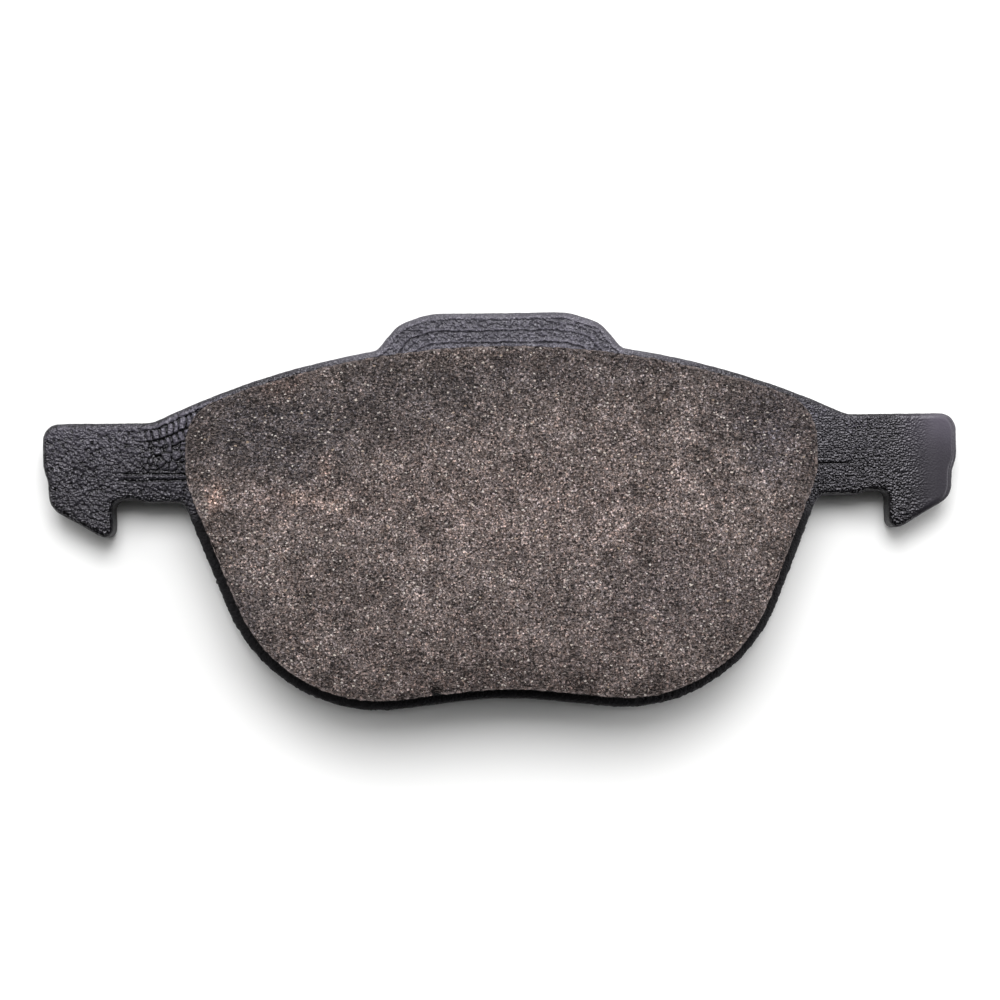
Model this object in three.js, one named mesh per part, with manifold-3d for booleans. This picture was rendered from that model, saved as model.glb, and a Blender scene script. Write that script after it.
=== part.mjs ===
// Outboard disc-brake pad for a floating caliper. A blanked steel plate with two hook-ended ears
// carries a moulded friction lining on its front and a rubber-skinned noise shim on its back.
//
// The frame, in millimetres: +X runs along the pad, +Y points outward from the wheel's centre and
// +Z from the caliper's fingers to the disc. The origin is the middle of the pad's outline, on the
// back face of the shim, so the friction face is the highest.
import * as THREE from 'three';
import { mergeVertices } from 'three/addons/utils/BufferGeometryUtils.js';
import Module from 'manifold-3d';

const wasm = await Module();
wasm.setup();

// Thickness of each layer, from the back of the pad to its front
const outerRubberThickness = 0.2;
const steelCoreThickness = 0.5;
const innerRubberThickness = 0.15;
const shimAdhesiveThickness = 0.15;
const plateThickness = 6;
const bondFilmThickness = 0.2;
const underlayerThickness = 2;
const liningThickness = 8.8;

// Height of each layer's back face
const steelCoreZ = outerRubberThickness;
const innerRubberZ = steelCoreZ + steelCoreThickness;
const shimAdhesiveZ = innerRubberZ + innerRubberThickness;
const plateZ = shimAdhesiveZ + shimAdhesiveThickness;
const bondFilmZ = plateZ + plateThickness;
const underlayerZ = bondFilmZ + bondFilmThickness;
const liningZ = underlayerZ + underlayerThickness;

// How far the shim stays inside the lining's outline
const shimMargin = 0.8;

// Two holes through the plate that the underlayer is pressed into
const mouldingHoles = { x: 27, y: -3, radius: 5 };
const plugGap = 0.3;

// Two pips half-sheared out of the plate's back, which locate the shim
const pips = { x: 9, y: -14, radius: 2.5 };
const pipHeight = 0.85;
const pipGap = 0.3;

// The rolled edge that blanking leaves on the plate
const edgeRoll = 0.4;
const edgeRollSteps = 2;

// The outer edges of the plate and the lining are arcs round one point far below the pad.
const crownCentreY = -108.4;
const plateCrownRadius = 137.3;
const liningCrownRadius = 135.4;

// Each arc is divided into steps no wider than an angle, and chords no longer than a length.
const widestStep = THREE.MathUtils.degToRad(6);
const longestChord = 4;
const holeSegments = 36;

// Outlines are lists of corners, clockwise as seen from the disc. Each corner is [x, y, radius of
// the arc that rounds it], and only the right half is listed, from the top to the bottom middle.
const plateCorners = symmetric([
  [11.8, 33.6, 12], // shoulder of the raised tab, in two bends
  [17.2, 31.8, 5],
  [20.8, 27.4, 1.5], // foot of the tab
  crown(plateCrownRadius, 9.4, 24.6),
  [59, 15.6, 4], // root of the ear
  [77.6, 15.6, 2.7], // ear's outer corner
  [77.6, 8.1, 3], // the end face steps in
  [76.8, 5.8, 3],
  [76.6, 1.4, 3.4], // the hook slants in
  [65.9, -4.8, 1.4], // tip of the hook
  [65.9, 2.6, 1.4], // relief at the hook's root
  [61.8, 2.6, 1],
  [60.9, 2, 1],
  [53.8, 2, 2], // where the ear's underside meets the body's flank
  [38.8, -35.8, 28], // lobe
  [0, -31.5, 66], // hollow
]);

const liningCorners = symmetric([
  crown(liningCrownRadius, -19.5, 19.5),
  [52.3, 16.7, 8], // shoulder
  [52.3, 5.3, 10], // top of the flank
  [36.9, -33.5, 25.5], // lobe
  [0, -29.4, 68], // hollow
]);

// The corner whose rounding arc is a crown's stretch between two angles from the middle
function crown(radius, fromDegrees, toDegrees) {
  const middle = THREE.MathUtils.degToRad((fromDegrees + toDegrees) / 2);
  const half = THREE.MathUtils.degToRad((toDegrees - fromDegrees) / 2);
  const reach = radius / Math.cos(half);
  return [reach * Math.sin(middle), crownCentreY + reach * Math.cos(middle), radius];
}

// Adds the mirrored left half to a right half that ends in the middle
function symmetric(rightHalf) {
  const offMiddle = rightHalf.filter(([x]) => x > 0);
  return rightHalf.concat(offMiddle.map(([x, y, radius]) => [-x, y, radius]).reverse());
}

function direction([fromX, fromY], [toX, toY]) {
  return new THREE.Vector2(toX - fromX, toY - fromY).normalize();
}

// Calls make with each corner, the direction into it and the direction out of it
function alongCorners(corners, make) {
  return corners.map((corner, i) => {
    const before = corners.at(i - 1);
    const after = corners[(i + 1) % corners.length];
    return make(corner, direction(before, corner), direction(corner, after));
  });
}

// The same outline with every edge moved inward
function inset(corners, distance) {
  return alongCorners(corners, ([x, y, radius], into, out) => {
    const reach = distance / (1 + into.dot(out));
    const bulges = into.cross(out) < 0;
    return [
      x + reach * (into.y + out.y),
      y - reach * (into.x + out.x),
      bulges ? radius - distance : radius + distance,
    ];
  });
}

// Replaces each corner with points on the arc that touches both its edges
function rounded(corners) {
  return alongCorners(corners, ([x, y, radius], into, out) => {
    const turn = Math.atan2(into.cross(out), into.dot(out));
    const towardCentre = new THREE.Vector2(-into.y, into.x).multiplyScalar(radius * Math.sign(turn));
    const start = new THREE.Vector2(x, y).addScaledVector(into, -radius * Math.tan(Math.abs(turn) / 2));
    const centre = start.clone().add(towardCentre);
    const step = Math.min(widestStep, longestChord / radius);
    const steps = Math.ceil(Math.abs(turn) / step);
    const points = [];
    for (let i = 0; i <= steps; i += 1) {
      points.push(start.clone().rotateAround(centre, (turn * i) / steps));
    }
    return points;
  }).flat();
}

// A circle on each side of the middle
function holePair({ x, y, radius }) {
  return [-x, x].map((centreX) => {
    const hole = new THREE.Path();
    hole.absarc(centreX, y, radius, 0, 2 * Math.PI);
    return hole;
  });
}

// A flat layer standing on height z, with its edges rolled if asked for
function layer(corners, holes, z, thickness, roll = 0) {
  const shape = new THREE.Shape(rounded(corners));
  shape.holes = holes;
  const geometry = new THREE.ExtrudeGeometry(shape, {
    depth: thickness - 2 * roll,
    curveSegments: holeSegments / 2,
    bevelEnabled: roll > 0,
    bevelThickness: roll,
    bevelSize: roll,
    bevelOffset: -roll,
    bevelSegments: edgeRollSteps,
  });
  return geometry.translate(0, 0, z + roll);
}

// A short round post on each side of the middle, standing on height z
function postPair({ x, y, radius }, z, height) {
  return [-x, x].map((centreX) => {
    const post = new THREE.CylinderGeometry(radius, radius, height, holeSegments);
    return post.rotateX(Math.PI / 2).translate(centreX, y, z + height / 2);
  });
}

function toSolid(geometry) {
  const bare = geometry.clone();
  bare.deleteAttribute('normal');
  bare.deleteAttribute('uv');
  const merged = mergeVertices(bare);
  const vertProperties = new Float32Array(merged.attributes.position.array);
  const triVerts = new Uint32Array(merged.index.array);
  return new wasm.Manifold(new wasm.Mesh({ numProp: 3, vertProperties, triVerts }));
}

function toGeometry(solid) {
  const mesh = solid.getMesh();
  const geometry = new THREE.BufferGeometry();
  geometry.setAttribute('position', new THREE.BufferAttribute(mesh.vertProperties, 3));
  geometry.setIndex(new THREE.BufferAttribute(mesh.triVerts, 1));
  return geometry;
}

function joined(base, additions) {
  return toGeometry(additions.map(toSolid).reduce((sum, one) => sum.add(one), toSolid(base)));
}

function backingPlate() {
  const blank = layer(plateCorners, holePair(mouldingHoles), plateZ, plateThickness, edgeRoll);
  // The pips start inside the plate, so that they join it.
  return joined(blank, postPair(pips, plateZ - pipHeight, 2 * pipHeight));
}

function bondFilm() {
  return layer(liningCorners, holePair(mouldingHoles), bondFilmZ, bondFilmThickness);
}

function underlayer() {
  const sheet = layer(liningCorners, [], underlayerZ, underlayerThickness);
  const plug = { ...mouldingHoles, radius: mouldingHoles.radius - plugGap };
  // The plugs end level with the plate's back, and start inside the sheet.
  const plugHeight = underlayerZ + underlayerThickness / 2 - plateZ;
  return joined(sheet, postPair(plug, plateZ, plugHeight));
}

function frictionLining() {
  return layer(liningCorners, [], liningZ, liningThickness);
}

function shimLayer(z, thickness) {
  const hole = { ...pips, radius: pips.radius + pipGap };
  return layer(inset(liningCorners, shimMargin), holePair(hole), z, thickness);
}

function piece(name, geometry, color, roughness, metalness) {
  const mesh = new THREE.Mesh(
    geometry,
    new THREE.MeshStandardMaterial({ color, roughness, metalness }),
  );
  mesh.name = name;
  return mesh;
}

const shimRubber = '#26272a';

const group = new THREE.Group();
group.add(
  piece('backing_plate', backingPlate(), '#36373b', 0.45, 0.1),
  piece('bond_film', bondFilm(), '#5a3f24', 0.5, 0),
  piece('underlayer', underlayer(), '#2b2623', 0.95, 0),
  piece('friction_lining', frictionLining(), '#5e5450', 0.9, 0),
  piece('shim_adhesive', shimLayer(shimAdhesiveZ, shimAdhesiveThickness), '#8d8a80', 0.4, 0),
  piece('shim_inner_rubber', shimLayer(innerRubberZ, innerRubberThickness), shimRubber, 0.8, 0),
  piece('shim_steel_core', shimLayer(steelCoreZ, steelCoreThickness), '#9a9ca0', 0.35, 1),
  piece('shim_outer_rubber', shimLayer(0, outerRubberThickness), shimRubber, 0.8, 0),
);

export default group;
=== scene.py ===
import math

import bmesh
import bpy
import numpy as np
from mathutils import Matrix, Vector, kdtree, noise
from mathutils.geometry import delaunay_2d_cdt


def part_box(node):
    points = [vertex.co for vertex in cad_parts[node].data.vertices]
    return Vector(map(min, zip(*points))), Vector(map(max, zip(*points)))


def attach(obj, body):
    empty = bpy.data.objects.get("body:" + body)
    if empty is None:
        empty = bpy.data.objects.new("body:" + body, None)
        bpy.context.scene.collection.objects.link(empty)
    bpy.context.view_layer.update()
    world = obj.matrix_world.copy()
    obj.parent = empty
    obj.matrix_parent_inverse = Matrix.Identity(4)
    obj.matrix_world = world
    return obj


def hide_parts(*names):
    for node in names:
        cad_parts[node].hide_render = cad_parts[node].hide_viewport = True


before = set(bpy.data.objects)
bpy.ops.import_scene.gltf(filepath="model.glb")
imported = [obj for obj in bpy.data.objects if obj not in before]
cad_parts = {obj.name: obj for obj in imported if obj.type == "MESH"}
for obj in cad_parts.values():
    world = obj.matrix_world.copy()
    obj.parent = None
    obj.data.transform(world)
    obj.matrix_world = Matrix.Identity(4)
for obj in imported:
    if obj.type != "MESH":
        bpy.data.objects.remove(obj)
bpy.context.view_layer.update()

# Lengths in this script are millimetres, as in the part's source, and MM turns them into metres.
MM = 0.001

# Heights of the layers, from the frame
PLATE_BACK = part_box("shim_adhesive")[1].z / MM
PLATE_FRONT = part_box("bond_film")[0].z / MM
FILM_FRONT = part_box("bond_film")[1].z / MM
UNDERLAYER_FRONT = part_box("friction_lining")[0].z / MM
LINING_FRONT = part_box("friction_lining")[1].z / MM
PIP_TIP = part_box("backing_plate")[0].z / MM

# The outer edges of the plate and the lining are arcs round this point, far below the pad.
CROWN_CENTRE_Y = -108.4


# ---------------------------------------------------------------- outlines of the CAD nodes

def oriented(loop):
    """The loop anticlockwise, starting at its rightmost point."""
    ahead = np.roll(loop, -1, 0)
    area = np.sum(loop[:, 0] * ahead[:, 1] - ahead[:, 0] * loop[:, 1])
    if area < 0:
        loop = loop[::-1]
    return np.roll(loop, -int(np.argmax(loop[:, 0])), 0)


def perimeter(loop):
    return float(np.linalg.norm(np.roll(loop, -1, 0) - loop, axis=1).sum())


def section(node, height):
    """The loops where a level plane cuts a CAD node, the longest first, as arrays of x and y."""
    mesh = bmesh.new()
    mesh.from_mesh(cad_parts[node].data)
    bmesh.ops.remove_doubles(mesh, verts=mesh.verts, dist=0.001 * MM)
    everything = [*mesh.verts, *mesh.edges, *mesh.faces]
    cut = bmesh.ops.bisect_plane(
        mesh, geom=everything, plane_co=(0, 0, height * MM), plane_no=(0, 0, 1)
    )
    edges = dict.fromkeys(e for e in cut["geom_cut"] if isinstance(e, bmesh.types.BMEdge))
    loops = []
    while edges:
        edge = next(iter(edges))
        del edges[edge]
        start, here = edge.verts
        corners = [start]
        while here is not start:
            corners.append(here)
            edge = next(e for e in here.link_edges if e in edges)
            del edges[edge]
            here = edge.other_vert(here)
        loops.append(oriented(np.array([v.co.xy for v in corners]) / MM))
    mesh.free()
    return sorted(loops, key=perimeter, reverse=True)


def resampled(loop, spacing):
    """The same loop with evenly spaced points."""
    closed = np.vstack([loop, loop[:1]])
    along = np.concatenate([[0], np.cumsum(np.linalg.norm(np.diff(closed, axis=0), axis=1))])
    count = round(along[-1] / spacing)
    places = np.arange(count) * along[-1] / count
    return np.stack([np.interp(places, along, closed[:, k]) for k in (0, 1)], 1)


def softened(loop, passes=4):
    """The loop with the corners between its short straight steps smoothed away."""
    for _ in range(passes):
        loop = (np.roll(loop, 1, 0) + 2 * loop + np.roll(loop, -1, 0)) / 4
    return loop


def outward(loop):
    """The unit vector that points out of an anticlockwise loop at each of its points."""
    along = np.roll(loop, -1, 0) - np.roll(loop, 1, 0)
    along /= np.linalg.norm(along, axis=1, keepdims=True)
    return np.stack([along[:, 1], -along[:, 0]], 1)


class Edge:
    """Tells how far inside an outline a point lies; the result is negative outside it."""

    def __init__(self, loop):
        self.normals = outward(loop)
        self.tree = kdtree.KDTree(len(loop))
        for i, (x, y) in enumerate(loop):
            self.tree.insert((x, y, 0), i)
        self.tree.balance()

    def inset(self, x, y):
        nearest, index, distance = self.tree.find((x, y, 0))
        normal = self.normals[index]
        out = (x - nearest.x) * normal[0] + (y - nearest.y) * normal[1]
        return -distance if out > 0 else distance


# ---------------------------------------------------------------- meshes

def lattice(low, high, spacing):
    """Points of a triangular lattice over a box."""
    row_height = spacing * math.sqrt(3) / 2
    rows = []
    for k, y in enumerate(np.arange(low[1], high[1], row_height)):
        xs = np.arange(low[0] + (k % 2) * spacing / 2, high[0], spacing)
        rows.append(np.stack([xs, np.full(len(xs), y)], 1))
    return np.vstack(rows)


class Shell:
    """Vertices and faces of one closed piece, gathered ring by ring."""

    def __init__(self):
        self.points = []
        self.faces = []

    def ring(self, loop, height):
        first = len(self.points)
        self.points += [(x, y, height) for x, y in loop]
        return list(range(first, len(self.points)))

    def wall(self, low, high):
        """Joins two rings of the same length; it faces out of an anticlockwise loop."""
        for i in range(len(low)):
            j = (i + 1) % len(low)
            self.faces.append((low[i], low[j], high[j], high[i]))

    def profile(self, loop, steps):
        """A wall through rings given as (inset, height), from the back to the front."""
        normals = outward(loop)
        rings = [self.ring(loop - inset * normals, height) for inset, height in steps]
        for low, high in zip(rings, rings[1:]):
            self.wall(low, high)
        return rings[0], rings[-1]

    def cap(self, outer, holes, inner, height, faces_up):
        """Fills the ring called outer, round the hole rings and through the inner points."""
        indices = [i for ring in (outer, *holes) for i in ring] + self.ring(inner, height)
        flat = [Vector(self.points[i][:2]) for i in indices]
        owner = {}
        edges = []
        start = len(outer)
        for k, hole in enumerate(holes):
            members = range(start, start + len(hole))
            owner.update(dict.fromkeys(members, k))
            edges += [(i, i + 1 if i + 1 in members else start) for i in members]
            start += len(hole)
        found = delaunay_2d_cdt(flat, edges, [list(range(len(outer)))], 1, 1e-7)
        original = [ids[0] for ids in found[3]]
        for face in found[2]:
            corners = [original[i] for i in face]
            owners = {owner.get(i, -1) for i in corners}
            if len(owners) == 1 and owners != {-1}:
                continue
            if not faces_up:
                corners.reverse()
            self.faces.append([indices[i] for i in corners])

    def piece(self, name, relief=None, edge=None):
        """The finished object.

        relief(x, y, z, normal) moves each vertex along its normal. It is kept for the material as
        the attribute "relief", beside "rim", which is how far inside the edge the vertex lies.
        """
        mesh = bpy.data.meshes.new(name)
        mesh.from_pydata([Vector(p) * MM for p in self.points], [], self.faces)
        mesh.update()
        normals = [vertex.normal.copy() for vertex in mesh.vertices]
        heights = [0.0] * len(normals)
        if relief:
            heights = [relief(*point, normal) for point, normal in zip(self.points, normals)]
            for vertex, point, normal, height in zip(mesh.vertices, self.points, normals, heights):
                vertex.co = (Vector(point) + normal * height) * MM
        mesh.attributes.new("relief", "FLOAT", "POINT").data.foreach_set("value", heights)
        if edge:
            rims = [edge.inset(x, y) for x, y, z in self.points]
            mesh.attributes.new("rim", "FLOAT", "POINT").data.foreach_set("value", rims)
        mesh.polygons.foreach_set("use_smooth", [True] * len(mesh.polygons))
        mesh.update()
        made = bpy.data.objects.new(name, mesh)
        bpy.context.scene.collection.objects.link(made)
        return made


def smooth(low, high, value):
    """0 at low, 1 at high and a smooth step between; low may be the larger."""
    t = min(max((value - low) / (high - low), 0), 1)
    return t * t * (3 - 2 * t)


def groove(offset, width):
    return math.exp(-((offset / width) ** 2))


def fractal(x, y, z, size, octaves=2):
    """Noise between about -1 and 1 whose bumps are about size across."""
    return noise.fractal(Vector((x, y, z)) / size, 1.0, 2.0, octaves)


def creased(x, y, z, size, octaves=2):
    """Plump bumps about half of size across, between sharp creases where the result is 0."""
    return noise.turbulence(Vector((x, y, z)) / size, octaves, True)


def cell_cracks(x, y, size):
    """1 along the curved cracks between irregular cells and 0 inside them."""
    bent = Vector((x + 0.5 * fractal(x, y, 9, size), y + 0.5 * fractal(x, y, 4, size), 0))
    distances = noise.voronoi(bent / size)[0]
    return smooth(0.2, 0.0, distances[1] - distances[0])


def cell_domes(x, y, size):
    """A round dome on each irregular cell, 1 at its top and 0 between the cells."""
    distances = noise.voronoi(Vector((x, y, 0)) / size)[0]
    return smooth(0.0, 0.35, distances[1] - distances[0])


# ---------------------------------------------------------------- backing plate

PLATE_MESH_STEP = 0.17
HIDDEN_MESH_STEP = 3.0
ROLL_WIDTH = 0.9
ROLL_DROP = 0.7
BACK_EDGE_RADIUS = 0.25
PLATE_MIDDLE = (PLATE_BACK + PLATE_FRONT) / 2
LINING_MIDDLE = (UNDERLAYER_FRONT + LINING_FRONT) / 2

LINING_LOOP = softened(resampled(section("friction_lining", LINING_MIDDLE)[0], 0.34))
LINING_EDGE = Edge(LINING_LOOP)
PLATE_LOOP = softened(resampled(section("backing_plate", PLATE_MIDDLE)[0], 0.3))
PLATE_EDGE = Edge(PLATE_LOOP)

# Rows that run inside the plate's crown, as (how far inside the edge, depth)
COAT_ROWS = ((1.3, 0.16), (3.2, 0.26), (5.2, 0.26))
RUNG_SPACING = 1.2
RUNG_RADIUS = 137
WRINKLE_SLANT = math.radians(-38)


def arc_steps(width, drop, count, height):
    """(inset, height) of a quarter ellipse, from the wall to the face."""
    quarter = math.pi / 2 / count
    return [
        (width * (1 - math.cos(i * quarter)), height - drop + drop * math.sin(i * quarter))
        for i in range(count + 1)
    ]


def coat_rows(x, y, edge):
    """Depth of the rows along the crown: sharp creases that wander, each with a raised lip."""
    wander = 0.22 * fractal(x, y, 0, 2.2) + 0.1 * fractal(x, y, 5, 0.7)
    return sum(
        depth * (groove(edge + wander - inset, 0.13) - 0.9 * groove(edge + wander - inset + 0.3, 0.14))
        for inset, depth in COAT_ROWS
    )


def coat_rungs(x, y, edge):
    """1 in the notches across the two rows at the root of the left ear."""
    along = math.atan2(x, y - CROWN_CENTRE_Y) * RUNG_RADIUS + 0.2 * edge
    phase = along / RUNG_SPACING + 0.35 * fractal(x, y, 0, 2.4) + 0.5 * (edge > 3.3)
    across = (phase - round(phase)) * RUNG_SPACING
    return groove(across, 0.2) * smooth(1.3, 1.6, edge) * smooth(5.2, 4.9, edge)


def plate_relief(x, y, z, normal):
    """Wrinkles of the thick powder coat, with its rows, rungs, knobs, lines and smooth right end."""
    front = smooth(0.4, 0.9, normal.z)
    edge = PLATE_EDGE.inset(x, y)
    bared = 1 - smooth(0.0, 0.6, LINING_EDGE.inset(x, y)) * front
    if bared == 0 or normal.z < -0.5:
        return 0
    drips = smooth(3, 0, y) * smooth(56, 53, abs(x)) * smooth(12, 22, abs(x))
    height = drips * (0.16 * fractal(x, y, z, 0.6) + 0.1 * creased(x, y, z, 0.9))
    height += 0.06 * fractal(x, y, 2, 3.0, 1) * (1 - front) * smooth(66, 60, x)
    if front == 0:
        return height + 0.04 * fractal(x, y, z, 0.9)
    left_ear = smooth(-42, -50, x)
    tab = smooth(23, 19, abs(x)) * smooth(22, 25, y)
    rows = smooth(1.2, 1.6, edge) * smooth(5.4, 5.1, edge)
    ladder = smooth(-62, -58.5, x) * smooth(-45, -49, x) * smooth(11.2, 12.2, y)
    along = x * math.cos(WRINKLE_SLANT) + y * math.sin(WRINKLE_SLANT)
    across = y * math.cos(WRINKLE_SLANT) - x * math.sin(WRINKLE_SLANT)
    coarse = 0.2 * fractal(along / 1.5, across, z, 0.36) + 0.3 * creased(along / 1.5, across, 3, 0.7)
    fine = (0.11 + 0.13 * tab) * fractal(x, y, z, 0.36) + 0.04 * creased(x, y, 3, 0.5)
    polished = smooth(66, 73, x + 0.25 * y) * smooth(-2, 2, y)
    knobs = smooth(-63, -59, x) * smooth(-50, -53, x) * smooth(12, 11.5, y) * smooth(7, 7.5, y)
    lined = smooth(-67, -62, x) * smooth(-50, -52, x)
    patch = smooth(1.3, 0.8, math.hypot((x - 55.5) / 3, (y - 11) / 4.5))
    wrinkles = coarse * left_ear + fine * (1 - left_ear) * (1 - polished) * (1 - 0.8 * patch)
    wrinkles += 0.18 * creased(x, y, 8, 0.5) * tab
    wrinkles *= (1 - 0.75 * ladder * rows) * (1 - 0.75 * knobs)
    wrinkles *= 1 - 0.6 * lined * smooth(1.3, 0.7, abs(y - 6.2))
    wrinkles += 0.26 * ladder * rows * abs(math.sin(math.pi * (edge - 1.3) / 1.95))
    wrinkles -= coat_rows(x, y, edge) * max(tab, ladder)
    wrinkles -= 0.42 * coat_rungs(x, y, edge) * ladder
    wrinkles -= 0.2 * cell_cracks(x, y, 1.15) * tab * rows
    wrinkles += 0.4 * (cell_domes(x, y, 1.3) - 0.5) * knobs
    for line in (6.8, 5.7):
        wander = 0.2 * fractal(x, 0, line, 3.0)
        offset = y - line + wander
        wrinkles -= (0.24 * groove(offset, 0.15) - 0.12 * groove(offset + 0.4, 0.2)) * lined
    wrinkles -= 0.24 * groove(y - 7.25, 0.14) * smooth(53, 54, x) * smooth(60.5, 58, x)
    wrinkles *= 0.3 + 0.7 * smooth(0.4, 1.3, edge)
    wrinkles -= 0.6 * smooth(72.5, 77.5, x) ** 2
    return (height + wrinkles) * front * bared


def bores_and_walls(shell, node, height, low, high):
    """Rings and walls of the holes through a node between two heights: (low, high) of each."""
    pairs = []
    for loop in section(node, height)[1:]:
        clockwise = loop[::-1]
        pair = shell.ring(clockwise, low), shell.ring(clockwise, high)
        shell.wall(*pair)
        pairs.append(pair)
    return pairs


def ring_edge(shell, ring):
    return Edge(oriented(np.array([shell.points[i][:2] for i in ring])))


def plate_piece():
    shell = Shell()
    steps = [(BACK_EDGE_RADIUS, PLATE_BACK), (BACK_EDGE_RADIUS * 0.3, PLATE_BACK + BACK_EDGE_RADIUS * 0.3)]
    for height in np.arange(PLATE_BACK + BACK_EDGE_RADIUS, PLATE_FRONT - ROLL_DROP - 0.2, 0.5):
        steps.append((0, height))
    steps += arc_steps(ROLL_WIDTH, ROLL_DROP, 5, PLATE_FRONT)
    back, front = shell.profile(PLATE_LOOP, steps)
    bores = bores_and_walls(shell, "backing_plate", PLATE_MIDDLE, PLATE_BACK, PLATE_FRONT)
    pips = []
    for loop in section("backing_plate", (PIP_TIP + PLATE_BACK) / 2):
        tip_steps = [(0.25, PIP_TIP), (0.05, PIP_TIP + 0.1), (0, PIP_TIP + 0.3), (0, PLATE_BACK)]
        tip, root = shell.profile(loop, tip_steps)
        shell.cap(tip, [], [], PIP_TIP, False)
        pips.append(root)
    low, high = PLATE_LOOP.min(0), PLATE_LOOP.max(0)
    bore_edges = [ring_edge(shell, ring) for ring, _ in bores]
    pip_edges = [ring_edge(shell, ring) for ring in pips]
    shown = [
        p for p in lattice(low, high, PLATE_MESH_STEP)
        if LINING_EDGE.inset(*p) < 0.8 and PLATE_EDGE.inset(*p) > ROLL_WIDTH + 0.6 * PLATE_MESH_STEP
    ]
    hidden = [
        p for p in lattice(low, high, HIDDEN_MESH_STEP)
        if LINING_EDGE.inset(*p) > 0.8 + HIDDEN_MESH_STEP / 2 and all(e.inset(*p) < -1 for e in bore_edges)
    ]
    behind = [
        p for p in lattice(low, high, 1.0)
        if PLATE_EDGE.inset(*p) > BACK_EDGE_RADIUS + 0.6
        and all(e.inset(*p) < -0.6 for e in bore_edges + pip_edges)
    ]
    shell.cap(front, [ring for _, ring in bores], shown + hidden, PLATE_FRONT, True)
    shell.cap(back, [ring for ring, _ in bores] + pips, behind, PLATE_BACK, False)
    return shell.piece("coated_plate", plate_relief, PLATE_EDGE)


# ---------------------------------------------------------------- lining, underlayer and film

LINING_MESH_STEP = 0.31
CHIP = (-11.4, -30.0)
BURR = (-50.6, -5.6)


def flank_relief(x, y, z):
    """The moulded flank, which is rougher than the ground face."""
    burr = groove(math.hypot(x - BURR[0], y - BURR[1]), 0.6) * groove(z - UNDERLAYER_FRONT, 1.5)
    return 0.2 * fractal(x, y, z, 0.9) + 0.07 * fractal(x, y, z, 4.0, 1) + 0.5 * burr


def lining_relief(x, y, z, normal):
    """Fine grains and torn-out pits on the ground face, coarse grains on the flank."""
    face = smooth(0.5, 0.9, normal.z)
    if normal.z < -0.5:
        return 0
    height = flank_relief(x, y, z) * (1 - face) * smooth(0, 0.5, z - UNDERLAYER_FRONT)
    if face:
        pit = smooth(0.42, 0.7, fractal(x + 31, y, z, 1.2))
        height += (0.06 * fractal(x, y, z, 0.5) - 0.18 * pit) * face
        edge = LINING_EDGE.inset(x, y)
        crumbled = smooth(0.1, 0.6, fractal(x, y, 17, 2.2)) + smooth(0.1, 0.5, fractal(x, y, 5, 0.6))
        sound = smooth(-24, -28, y) * smooth(38, 32, abs(x))
        height -= (0.26 - 0.2 * sound) * crumbled * smooth(1.1, 0.2, edge)
    height -= 0.9 * groove(math.hypot(x - CHIP[0], y - CHIP[1]), 0.8) * smooth(-2.5, -0.5, z - LINING_FRONT)
    return height


def lining_piece():
    shell = Shell()
    steps = [(0, height) for height in np.arange(UNDERLAYER_FRONT, LINING_FRONT - 0.5, 0.45)]
    steps += arc_steps(0.14, 0.14, 2, LINING_FRONT)
    back, front = shell.profile(LINING_LOOP, steps)
    low, high = LINING_LOOP.min(0), LINING_LOOP.max(0)
    face = [
        p for p in lattice(low, high, LINING_MESH_STEP)
        if LINING_EDGE.inset(*p) > 0.14 + 0.6 * LINING_MESH_STEP
    ]
    shell.cap(front, [], face, LINING_FRONT, True)
    behind = [p for p in lattice(low, high, 4.0) if LINING_EDGE.inset(*p) > 1.5]
    shell.cap(back, [], behind, UNDERLAYER_FRONT, False)
    return shell.piece("lining_block", lining_relief, LINING_EDGE)


def underlayer_relief(x, y, z, normal):
    inside = LINING_EDGE.inset(x, y) > 0.5
    return 0 if inside or abs(normal.z) > 0.9 else flank_relief(x, y, z)


def underlayer_piece():
    """The 2 mm layer behind the lining, with the plugs that fill the plate's two holes."""
    shell = Shell()
    heights = np.linspace(FILM_FRONT, UNDERLAYER_FRONT, 5)
    back, front = shell.profile(LINING_LOOP, [(0, height) for height in heights])
    plug_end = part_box("underlayer")[0].z / MM
    plugs = []
    for loop in section("underlayer", PLATE_MIDDLE):
        end, root = shell.profile(loop, [(0.3, plug_end), (0, plug_end + 0.3), (0, FILM_FRONT)])
        shell.cap(end, [], [], plug_end, False)
        plugs.append(root)
    low, high = LINING_LOOP.min(0), LINING_LOOP.max(0)
    inner = [p for p in lattice(low, high, 4.0) if LINING_EDGE.inset(*p) > 1.5]
    shell.cap(front, [], inner, UNDERLAYER_FRONT, True)
    plug_edges = [ring_edge(shell, ring) for ring in plugs]
    clear = [p for p in inner if all(e.inset(*p) < -1 for e in plug_edges)]
    shell.cap(back, plugs, clear, FILM_FRONT, False)
    return shell.piece("underlayer_block", underlayer_relief, LINING_EDGE)


def film_relief(x, y, z, normal):
    """The film squeezes out past the underlayer in an uneven bead."""
    if abs(normal.z) > 0.9 or LINING_EDGE.inset(x, y) > 0.5:
        return 0
    return 0.18 + 0.16 * fractal(x, y, 3, 1.6)


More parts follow.
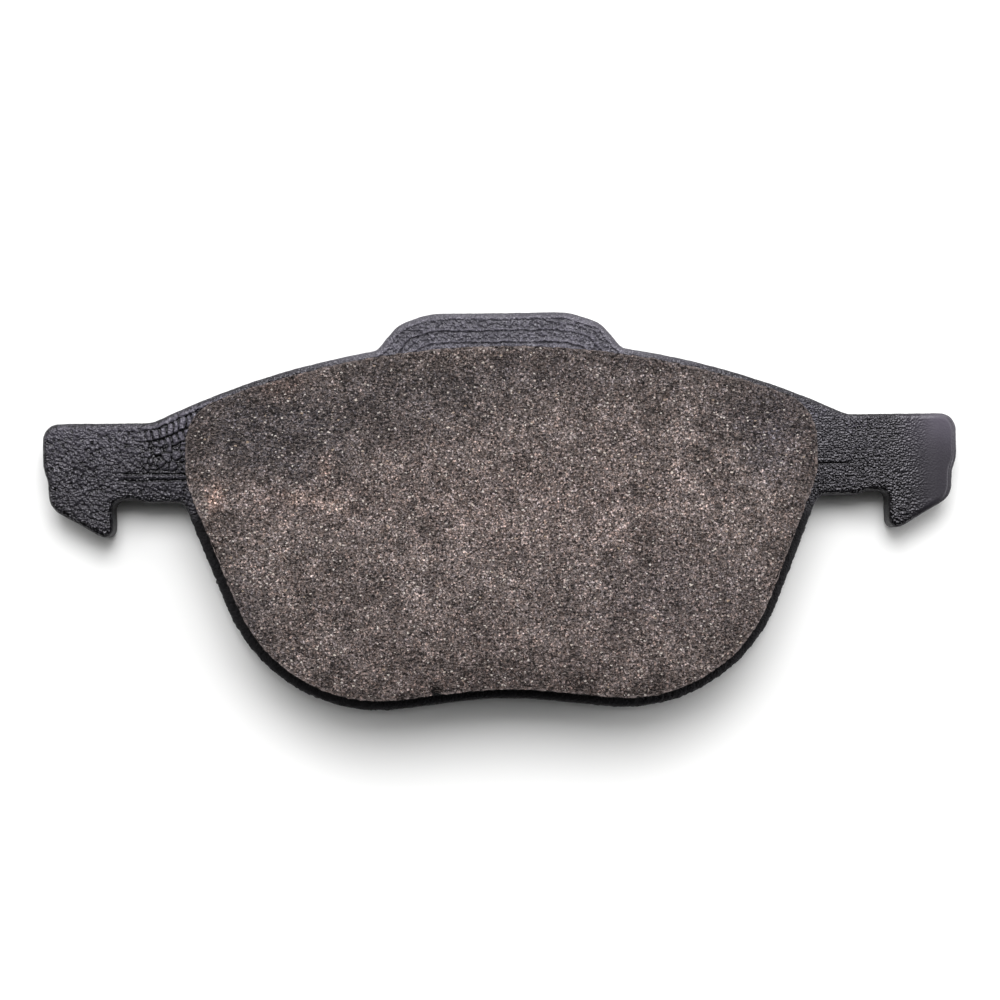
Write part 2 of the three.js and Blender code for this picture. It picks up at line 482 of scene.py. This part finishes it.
def film_piece():
    shell = Shell()
    thick = FILM_FRONT - PLATE_FRONT
    steps = [(0.12, PLATE_FRONT), (0, PLATE_FRONT + 0.3 * thick)]
    steps += [(0, FILM_FRONT - 0.3 * thick), (0.12, FILM_FRONT)]
    back, front = shell.profile(LINING_LOOP, steps)
    holes = bores_and_walls(shell, "bond_film", (PLATE_FRONT + FILM_FRONT) / 2, PLATE_FRONT, FILM_FRONT)
    edges = [ring_edge(shell, ring) for ring, _ in holes]
    low, high = LINING_LOOP.min(0), LINING_LOOP.max(0)
    inner = [
        p for p in lattice(low, high, 4.0)
        if LINING_EDGE.inset(*p) > 1.5 and all(e.inset(*p) < -1 for e in edges)
    ]
    shell.cap(front, [ring for _, ring in holes], inner, FILM_FRONT, True)
    shell.cap(back, [ring for ring, _ in holes], inner, PLATE_FRONT, False)
    return shell.piece("film_bead", film_relief)


# ---------------------------------------------------------------- noise shim

def shim_piece(node, name, rounding):
    """One layer of the shim, cut to its outline and round the plate's two pips."""
    low_corner, high_corner = (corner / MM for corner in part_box(node))
    low, high = low_corner.z, high_corner.z
    shell = Shell()
    loop = softened(resampled(section(node, (low + high) / 2)[0], 0.6), 2)
    steps = [(rounding, low), (0, low + rounding), (0, high - rounding), (rounding, high)]
    back, front = shell.profile(loop, steps)
    holes = bores_and_walls(shell, node, (low + high) / 2, low, high)
    edges = [ring_edge(shell, ring) for ring, _ in holes]
    outline = Edge(loop)
    inner = [
        p for p in lattice(loop.min(0), loop.max(0), 2.0)
        if outline.inset(*p) > 1 and all(e.inset(*p) < -1 for e in edges)
    ]
    shell.cap(front, [ring for _, ring in holes], inner, high, True)
    shell.cap(back, [ring for ring, _ in holes], inner, low, False)
    return shell.piece(name)


# ---------------------------------------------------------------- materials

def add(tree, kind, inputs=None, **settings):
    """A new shader node; each input is given a value, or another node's socket to follow."""
    made = tree.nodes.new(kind)
    for key, value in settings.items():
        setattr(made, key, value)
    for key, value in (inputs or {}).items():
        if isinstance(value, bpy.types.NodeSocket):
            tree.links.new(value, made.inputs[key])
        else:
            made.inputs[key].default_value = value
    return made


def new_material(name):
    """A material, its node tree, its shader and the place in millimetres."""
    material = bpy.data.materials.new(name)
    material.use_nodes = True
    tree = material.node_tree
    place = add(tree, "ShaderNodeTexCoord").outputs["Object"]
    scaled = add(tree, "ShaderNodeVectorMath", {0: place, "Scale": 1 / MM}, operation="SCALE")
    return material, tree, tree.nodes["Principled BSDF"], scaled.outputs[0]


def math_node(tree, operation, a, b=0.0, c=0.0):
    return add(tree, "ShaderNodeMath", {0: a, 1: b, 2: c}, operation=operation).outputs[0]


def vector_node(tree, operation, a, b):
    inputs = {0: a, "Scale" if operation == "SCALE" else 1: b}
    made = add(tree, "ShaderNodeVectorMath", inputs, operation=operation)
    return made.outputs[1] if operation == "LENGTH" else made.outputs[0]


def ramp(tree, factor, stops):
    """A colour ramp; each stop is (place, grey) or (place, (red, green, blue))."""
    made = add(tree, "ShaderNodeValToRGB", {0: factor})
    elements = made.color_ramp.elements
    while len(elements) < len(stops):
        elements.new(0.5)
    for element, (place, value) in zip(elements, stops):
        element.position = place
        rgb = value if isinstance(value, tuple) else (value,) * 3
        element.color = (*rgb, 1)
    return made.outputs[0]


def noise_node(tree, place, size, detail=2.0, roughness=0.5, distortion=0.0):
    inputs = {
        "Vector": place, "Scale": 1 / size, "Detail": detail,
        "Roughness": roughness, "Distortion": distortion,
    }
    return add(tree, "ShaderNodeTexNoise", inputs).outputs[0]


def channels(tree, colour):
    return add(tree, "ShaderNodeSeparateColor", {0: colour}).outputs


def grains(tree, place, size):
    """Three random numbers for each irregular grain, and the distance from the grain's middle."""
    made = add(tree, "ShaderNodeTexVoronoi", {"Vector": place, "Scale": 1 / size})
    return channels(tree, made.outputs["Color"]), made.outputs["Distance"]


def mix(tree, factor, a, b, blend="MIX"):
    inputs = {0: factor, 6: a, 7: b}
    return add(tree, "ShaderNodeMix", inputs, data_type="RGBA", blend_type=blend).outputs[2]


def rgba(red, green, blue):
    return (red, green, blue, 1.0)


def attribute(tree, name):
    return add(tree, "ShaderNodeAttribute", attribute_name=name).outputs["Fac"]


def bump(tree, shader, height, depth, strength=1.0):
    made = add(tree, "ShaderNodeBump", {"Height": height, "Distance": depth * MM, "Strength": strength})
    tree.links.new(made.outputs[0], shader.inputs["Normal"])


def bent_place(tree, place, size, amount):
    """The place, pushed about by noise so that grains lose their straight borders."""
    warp = add(tree, "ShaderNodeTexNoise", {"Vector": place, "Scale": 1 / size, "Detail": 2.0})
    centred = vector_node(tree, "SUBTRACT", warp.outputs["Color"], (0.5, 0.5, 0.5))
    return vector_node(tree, "ADD", place, vector_node(tree, "SCALE", centred, amount))


def facing_front(tree):
    """1 on faces that look towards the disc and 0 on the flank."""
    normal = add(tree, "ShaderNodeTexCoord").outputs["Normal"]
    height = add(tree, "ShaderNodeSeparateXYZ", {0: normal}).outputs[2]
    return ramp(tree, height, [(0.55, 0.0), (0.8, 1.0)])


# The coat's colour ramps run along x and y, as shares of these reaches.
COAT_REACH_X = 80.0
COAT_REACH_Y = 40.0


def powder_coat():
    """Thick black powder coat, darker on the ears and smooth at one end, with painted shade in its creases
    and a painted highlight on its crests, painted shade below the middle, lighter towards the crown, a
    painted reflection on the smooth right end and painted shade on the plate below the lining.
    """
    material, tree, shader, place = new_material("powder_coat")
    axes = add(tree, "ShaderNodeSeparateXYZ", {0: place}).outputs
    height = math_node(tree, "MULTIPLY_ADD", attribute(tree, "relief"), 6.0, 0.5)
    # Painted shade and highlight: the colour is darkened in the creases of the relief and lightened on its
    # crests.
    painted_relief_shade = ramp(tree, height, [(0.1, 0.02), (0.4, 0.15), (0.7, 1.0), (1.0, 3.4)])
    tone = noise_node(tree, place, 9.0, 3.0)
    colour = ramp(tree, tone, [(0.3, (0.0088, 0.0082, 0.0104)), (0.7, (0.0145, 0.0135, 0.0170))])
    rightwards = math_node(tree, "DIVIDE", axes[0], COAT_REACH_X)
    outwards = math_node(tree, "DIVIDE", axes[1], COAT_REACH_Y)
    # Painted shade below the middle of the plate; lighter towards the crown.
    shade_low_lift_high = ramp(tree, outwards, [(0.0, 0.6), (0.2, 1.0), (0.38, 2.6), (0.6, 2.2)])
    tab = ramp(tree, outwards, [(0.58, 0.0), (0.66, 0.5)])
    matt = ramp(tree, rightwards, [(0.84, 0.0), (0.93, 1.0)])
    # Painted reflection: on the smooth right end the colour is lifted, most of all on the rolled edge.
    right_end_sheen = ramp(tree, attribute(tree, "rim"), [(0.1, (4.2, 4.2, 4.0)), (1.0, (3.8, 3.6, 3.8))])
    # On the tab the painted shade of the creases gives way to an even lift, and on the smooth right end it
    # gives way to the painted reflection.
    painted_relief_shade = mix(tree, tab, mix(tree, matt, painted_relief_shade, right_end_sheen), rgba(4.4, 4.5, 4.3))
    colour = mix(tree, 1.0, mix(tree, 1.0, colour, shade_low_lift_high, "MULTIPLY"), painted_relief_shade, "MULTIPLY")
    sideways = math_node(tree, "ABSOLUTE", rightwards)
    ears = ramp(tree, sideways, [(0.68, 1.0), (0.76, 0.55)])
    colour = mix(tree, 1.0, colour, ears, "MULTIPLY")
    # Painted shade: between the ears the plate below the lining is made near black, as if in the lining's
    # shadow; it is rougher there too.
    between_ears = ramp(tree, sideways, [(0.68, 1.0), (0.72, 0.0)])
    from_middle = math_node(tree, "MULTIPLY_ADD", axes[1], 1 / COAT_REACH_Y, 0.5)
    below = ramp(tree, from_middle, [(0.46, 1.0), (0.52, 0.0)])
    skirt_painted_shade = math_node(tree, "MULTIPLY", between_ears, below)
    colour = mix(tree, skirt_painted_shade, colour, rgba(0.002, 0.002, 0.002))
    gloss = ramp(tree, noise_node(tree, place, 1.5, 2.0), [(0.3, 0.16), (0.7, 0.28)])
    gloss = mix(tree, matt, gloss, rgba(0.34, 0.34, 0.34))
    gloss = mix(tree, skirt_painted_shade, mix(tree, facing_front(tree), rgba(0.6, 0.6, 0.6), gloss), rgba(0.8, 0.8, 0.8))
    tree.links.new(gloss, shader.inputs["Roughness"])
    tree.links.new(colour, shader.inputs["Base Color"])
    calm = ramp(tree, rightwards, [(0.82, 1.0), (0.91, 0.08)])
    peel = math_node(tree, "MULTIPLY", noise_node(tree, place, 0.32, 0.0), calm)
    bump(tree, shader, peel, 0.22)
    shader.inputs["Specular Tint"].default_value = rgba(0.92, 0.89, 0.97)
    return material


# Large stains of the lining, and painted shade in the chip: x, y, width, height, colour factor, strength
STAINS_AND_CHIP_SHADE = (
    (-38, 13, 23, 10, (0.40, 0.44, 0.50), 0.88),
    (0, -24, 60, 10, (0.84, 0.82, 0.82), 0.8),
    (-14, 19, 24, 8, (0.54, 0.57, 0.61), 0.85),
    (14, 22.5, 30, 6, (0.70, 0.72, 0.76), 0.8),
    (46, 11, 8, 10, (0.58, 0.62, 0.70), 0.8),
    (0, -32, 50, 8, (0.58, 0.56, 0.56), 0.9),
    (28, -14, 20, 10, (0.74, 0.74, 0.77), 0.8),
    (-32, -14, 16, 8, (0.84, 0.83, 0.83), 0.7),
    (-34, 1.5, 12, 5, (1.40, 1.36, 1.36), 0.9),
    (6, 0, 36, 11, (1.20, 1.17, 1.16), 0.8),
    (-29.3, 7.3, 1.4, 3.2, (1.8, 1.6, 1.45), 0.9),
    (-33.5, 2.2, 4.0, 1.6, (1.6, 1.52, 1.42), 0.8),
    (-28.2, 1.2, 4.0, 2.2, (1.55, 1.5, 1.42), 0.8),
    (-47.4, 2.6, 2.0, 3.6, (1.55, 1.32, 1.2), 0.85),
    (41, 15, 12, 8, (0.68, 0.71, 0.75), 0.8),
    (-38, 23, 9, 4, (1.3, 1.2, 1.15), 0.8),
    (-45, -18, 8, 12, (0.72, 0.76, 0.82), 0.8),
    # Painted shade: this row darkens the colour nearly to black inside the chip's pit.
    (-11.4, -30.0, 1.5, 1.0, (0.08, 0.08, 0.08), 1.0),
    (-15.5, -30.6, 3.5, 0.5, (0.25, 0.25, 0.25), 0.9),
)


def stains_and_chip_shade(tree, place, colour):
    """The colour with each large stain, and the painted shade in the chip, laid over it."""
    ragged = bent_place(tree, place, 7.0, 9.0)
    crumbly = bent_place(tree, place, 0.8, 1.6)
    for x, y, width, height, factor, strength in STAINS_AND_CHIP_SHADE:
        bent = ragged if width > 6 else crumbly
        offset = vector_node(tree, "SUBTRACT", bent, (x, y, LINING_FRONT))
        scaled = vector_node(tree, "DIVIDE", offset, (width, height, 1000))
        reach = vector_node(tree, "LENGTH", scaled, (0, 0, 0))
        amount = ramp(tree, reach, [(0.35, strength), (1.0, 0.0)])
        colour = mix(tree, amount, colour, mix(tree, 1.0, colour, rgba(*factor), "MULTIPLY"))
    return colour


# Pale flecks of the compound: size, share of the grains that hold one, width, darkest and palest
FLECKS = (
    (0.33, 0.06, 0.36, (0.26, 0.22, 0.20), (0.48, 0.44, 0.42)),
    (0.55, 0.07, 0.34, (0.34, 0.27, 0.22), (0.78, 0.72, 0.68)),
    (1.0, 0.05, 0.24, (0.36, 0.27, 0.20), (0.66, 0.58, 0.52)),
)


def scattered(tree, place, size, share, width):
    """Factor and random numbers of sparse ragged flecks; share of the grains hold one."""
    random, middle = grains(tree, place, size)
    held = math_node(tree, "LESS_THAN", random[0], share)
    core = math_node(tree, "LESS_THAN", middle, width)
    return math_node(tree, "MULTIPLY", held, core), random


def compound_colour(tree, place, base):
    """Resin, mineral grains, brass and fibre flecks of a friction compound."""
    def layer(colour, factor):
        return mix(tree, 1.0, colour, factor, "MULTIPLY")

    clump = ramp(tree, noise_node(tree, place, 3.4, 5.0, 0.75), [(0.3, 0.45), (0.7, 1.65)])
    tone = ramp(
        tree, noise_node(tree, place, 0.3, 2.0, 0.8), [(0.32, 0.05), (0.5, 0.8), (0.6, 1.6), (0.72, 3.2)]
    )
    colour = layer(layer(base, clump), tone)
    bent = bent_place(tree, place, 0.25, 0.45)
    fine, _ = grains(tree, bent, 0.28)
    tint = ramp(tree, fine[1], [(0, (0.93, 0.98, 1.06)), (0.5, (1, 1, 1)), (1, (1.10, 0.99, 0.92))])
    shade = ramp(tree, fine[0], [(0, 0.12), (0.4, 0.7), (0.8, 1.25), (1, 3.0)])
    colour = layer(layer(colour, tint), shade)
    for turn in (0.6, 2.1, 2.9):
        turned = {"Vector": bent, "Rotation": (0, 0, turn), "Scale": (0.8, 5.0, 1)}
        fibres = add(tree, "ShaderNodeMapping", turned)
        streak = ramp(tree, noise_node(tree, fibres.outputs[0], 0.9, 1.0), [(0.62, 0.0), (0.72, 0.6)])
        colour = mix(tree, streak, colour, rgba(0.24, 0.20, 0.185))
    # Painted shade: dark specks stand for the shade in small pits that the mesh does not have.
    holes, _ = scattered(tree, vector_node(tree, "ADD", bent, (3.1, 8.2, 0)), 0.6, 0.12, 0.4)
    colour = mix(tree, math_node(tree, "MULTIPLY", holes, 0.8), colour, rgba(0.012, 0.010, 0.010))
    for size, share, width, dark, light in FLECKS:
        moved = vector_node(tree, "ADD", bent, (17 * size, 29 * size, 0))
        stretched = vector_node(tree, "MULTIPLY", moved, (1.0, 1.5, 1.0))
        held, random = scattered(tree, stretched, size, share, width)
        pale = ramp(tree, random[2], [(0, dark), (1, light)])
        colour = mix(tree, math_node(tree, "MULTIPLY", held, 0.8), colour, pale)
    return colour


def friction_compound():
    material, tree, shader, place = new_material("friction_compound")
    broad = noise_node(tree, place, 9.0, 4.0, 0.6, 0.4)
    base = ramp(tree, broad, [(0.3, (0.082, 0.066, 0.063)), (0.7, (0.168, 0.138, 0.131))])
    face = compound_colour(tree, place, stains_and_chip_shade(tree, place, base))
    rim = math_node(tree, "DIVIDE", attribute(tree, "rim"), 6.0)
    face = mix(tree, 1.0, face, ramp(tree, rim, [(0.0, 0.75), (1.0, 1.03)]), "MULTIPLY")
    # Painted highlight: a pale, ragged band along the edge of the face, as if its small chamfer caught the
    # light.
    edge_highlight_band = ramp(tree, attribute(tree, "rim"), [(0.1, 1.0), (0.5, 0.0)])
    ragged = ramp(tree, noise_node(tree, place, 0.9, 2.0), [(0.4, 0.0), (0.6, 0.6)])
    face = mix(tree, math_node(tree, "MULTIPLY", edge_highlight_band, ragged), face, rgba(0.24, 0.20, 0.195))
    # The near-black flank is black overspray, darkened further by painted shade.
    flank_mottle = noise_node(tree, place, 0.7, 3.0, 0.7)
    flank_overspray_and_shade = ramp(tree, flank_mottle, [(0.4, 0.001), (0.6, 0.004), (0.75, 0.03)])
    tree.links.new(mix(tree, facing_front(tree), flank_overspray_and_shade, face), shader.inputs["Base Color"])
    shader.inputs["Roughness"].default_value = 0.9
    shader.inputs["Specular IOR Level"].default_value = 0.15
    bump(tree, shader, noise_node(tree, place, 0.4, 2.0, 0.8), 0.5)
    return material


def underlayer_compound():
    material, tree, shader, place = new_material("underlayer_compound")
    base = compound_colour(tree, place, rgba(0.045, 0.04, 0.038))
    # Black overspray on the underlayer, made darker still by painted shade.
    coat = ramp(tree, noise_node(tree, place, 0.8, 3.0, 0.7), [(0.45, 0.9), (0.65, 0.3)])
    tree.links.new(mix(tree, coat, base, rgba(0.005, 0.005, 0.006)), shader.inputs["Base Color"])
    shader.inputs["Roughness"].default_value = 0.9
    shader.inputs["Specular IOR Level"].default_value = 0.15
    bump(tree, shader, noise_node(tree, place, 0.4, 3.0, 0.7), 0.2)
    return material


def simple_material(name, low, high, size, roughness, depth, metallic=0.0):
    """A material whose colour and roughness wander between two values, over a fine bump."""
    material, tree, shader, place = new_material(name)
    tone = noise_node(tree, place, size, 3.0, 0.6)
    tree.links.new(ramp(tree, tone, [(0.35, low), (0.65, high)]), shader.inputs["Base Color"])
    patch = ramp(tree, noise_node(tree, place, 3.0, 2.0), [(0.3, roughness - 0.08), (0.7, roughness + 0.08)])
    tree.links.new(patch, shader.inputs["Roughness"])
    shader.inputs["Metallic"].default_value = metallic
    bump(tree, shader, noise_node(tree, place, size, 3.0, 0.6), depth)
    return material


# ---------------------------------------------------------------- the object

def finish_piece(piece, material, slot, *nodes):
    piece.data.materials.clear()
    piece.data.materials.append(material)
    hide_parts(*nodes)
    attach(piece, "root")
    return piece


finish_piece(plate_piece(), powder_coat(), "powder_coated_steel", "backing_plate")
finish_piece(lining_piece(), friction_compound(), "friction_compound", "friction_lining")
finish_piece(underlayer_piece(), underlayer_compound(), "underlayer_compound", "underlayer")
film_finish = simple_material("cured_film", (0.012, 0.009, 0.007), (0.03, 0.02, 0.014), 0.8, 0.3, 0.03)
finish_piece(film_piece(), film_finish, "cured_adhesive", "bond_film")
rubber = simple_material("nitrile_rubber", (0.014, 0.014, 0.015), (0.028, 0.028, 0.029), 0.5, 0.55, 0.04)
steel = simple_material("shim_steel", (0.42, 0.42, 0.43), (0.56, 0.56, 0.55), 0.4, 0.35, 0.01, 1.0)
adhesive = simple_material("contact_adhesive", (0.05, 0.045, 0.035), (0.09, 0.08, 0.06), 0.6, 0.6, 0.03)
finish_piece(shim_piece("shim_adhesive", "shim_glue", 0.03), adhesive, "contact_adhesive", "shim_adhesive")
finish_piece(shim_piece("shim_inner_rubber", "inner_skin", 0.03), rubber, "shim_rubber", "shim_inner_rubber")
finish_piece(shim_piece("shim_steel_core", "steel_sheet", 0.06), steel, "shim_steel", "shim_steel_core")
finish_piece(shim_piece("shim_outer_rubber", "outer_skin", 0.05), rubber, "shim_rubber", "shim_outer_rubber")


# ---------------------------------------------------------------- camera, light and floor

CAMERA_PLACE = (-6.80, -8.07, 430)
CAMERA_TURN = (0.02338, -0.01513, -0.01338)
CAMERA_ANGLE = math.radians(22.667)
SOFTBOX_STRENGTH = 1.72
ROOM_STRENGTH = 0.06


def make_camera():
    data = bpy.data.cameras.new("camera")
    data.sensor_width = 36
    data.angle = CAMERA_ANGLE
    data.clip_start = 10 * MM
    camera = bpy.data.objects.new("camera", data)
    camera.location = Vector(CAMERA_PLACE) * MM
    camera.rotation_euler = CAMERA_TURN
    bpy.context.scene.collection.objects.link(camera)
    bpy.context.scene.camera = camera


def softbox(name, azimuth, elevation, distance, size, power):
    """A square light that faces the pad; azimuth 0 is towards +Y and 90 towards +X."""
    data = bpy.data.lights.new(name, "AREA")
    data.shape = "SQUARE"
    data.size = size * MM
    data.energy = power
    light = bpy.data.objects.new(name, data)
    a, e = math.radians(azimuth), math.radians(elevation)
    toward = Vector((math.sin(a) * math.cos(e), math.cos(a) * math.cos(e), math.sin(e)))
    light.location = toward * distance * MM
    light.rotation_euler = toward.to_track_quat("Z", "Y").to_euler()
    bpy.context.scene.collection.objects.link(light)


def make_world():
    """A dim studio under one very large softbox, which reaches from overhead down towards +Y."""
    world = bpy.data.worlds.new("studio")
    world.use_nodes = True
    bpy.context.scene.world = world
    tree = world.node_tree
    direction = add(tree, "ShaderNodeTexCoord").outputs["Generated"]
    axes = add(tree, "ShaderNodeSeparateXYZ", {0: direction}).outputs
    past_zenith = ramp(tree, math_node(tree, "MULTIPLY_ADD", axes[1], 0.5, 0.5), [(0.504, 0), (0.584, 1)])
    above_edge = ramp(tree, axes[2], [(0.2, 0), (0.5, 1)])
    lit = math_node(tree, "MULTIPLY", past_zenith, above_edge)
    strength = math_node(tree, "MULTIPLY_ADD", lit, SOFTBOX_STRENGTH, ROOM_STRENGTH)
    seen = add(tree, "ShaderNodeLightPath").outputs["Is Camera Ray"]
    shown = math_node(tree, "MAXIMUM", strength, seen)
    background = tree.nodes["Background"]
    tree.links.new(shown, background.inputs["Strength"])
    background.inputs["Color"].default_value = rgba(1.0, 1.0, 0.99)


def make_floor():
    half = 3.0
    mesh = bpy.data.meshes.new("floor")
    low = -0.02 * MM
    corners = [(-half, -half, low), (half, -half, low), (half, half, low), (-half, half, low)]
    mesh.from_pydata(corners, [], [(0, 1, 2, 3)])
    floor = bpy.data.objects.new("floor", mesh)
    bpy.context.scene.collection.objects.link(floor)
    material, tree, shader, place = new_material("floor")
    shader.inputs["Base Color"].default_value = rgba(0.9, 0.9, 0.9)
    shader.inputs["Roughness"].default_value = 0.9
    mesh.materials.append(material)


make_camera()
make_world()
make_floor()
softbox("key", 0, 60, 900, 500, 6.4)
softbox("side", 95, 16, 700, 400, 1.4)
bpy.context.scene.view_settings.view_transform = "Standard"
